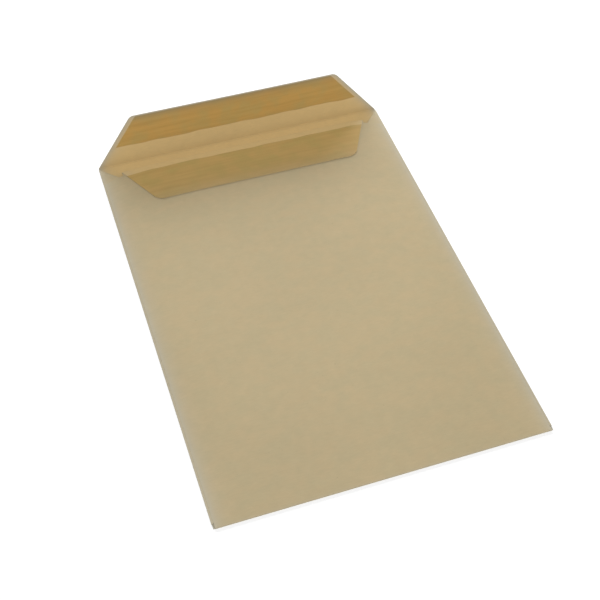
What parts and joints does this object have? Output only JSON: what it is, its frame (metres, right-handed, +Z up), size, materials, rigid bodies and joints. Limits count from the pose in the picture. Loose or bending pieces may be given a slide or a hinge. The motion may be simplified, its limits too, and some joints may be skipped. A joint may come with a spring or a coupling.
{
  "type": "paper envelope",
  "caption": "Buff manila pocket envelope with an open mouth on its short side, a sprung closing flap and a gummed counterflap folded over the back.",
  "frame": {"origin": "middle of the pocket's flat underside, half way between its bottom fold and the crease of the closing flap", "axes": "+X across the envelope, +Y along it towards the closing flap, +Z up, away from the surface it lies on"},
  "size_m": [0.229, 0.3372, 0.0345],
  "materials": {
    "manila_paper": "machine-finished buff manila, 90 g per square metre",
    "closing_flap_gum": "dried latex gum film, faint sheen",
    "second_flap_gum": "dried latex gum film, faint sheen"
  },
  "bodies": {
    "root": {"envelope_paper": "manila_paper", "closing_flap_gum": "closing_flap_gum", "second_flap_gum": "second_flap_gum"}
  },
  "joints": []
}
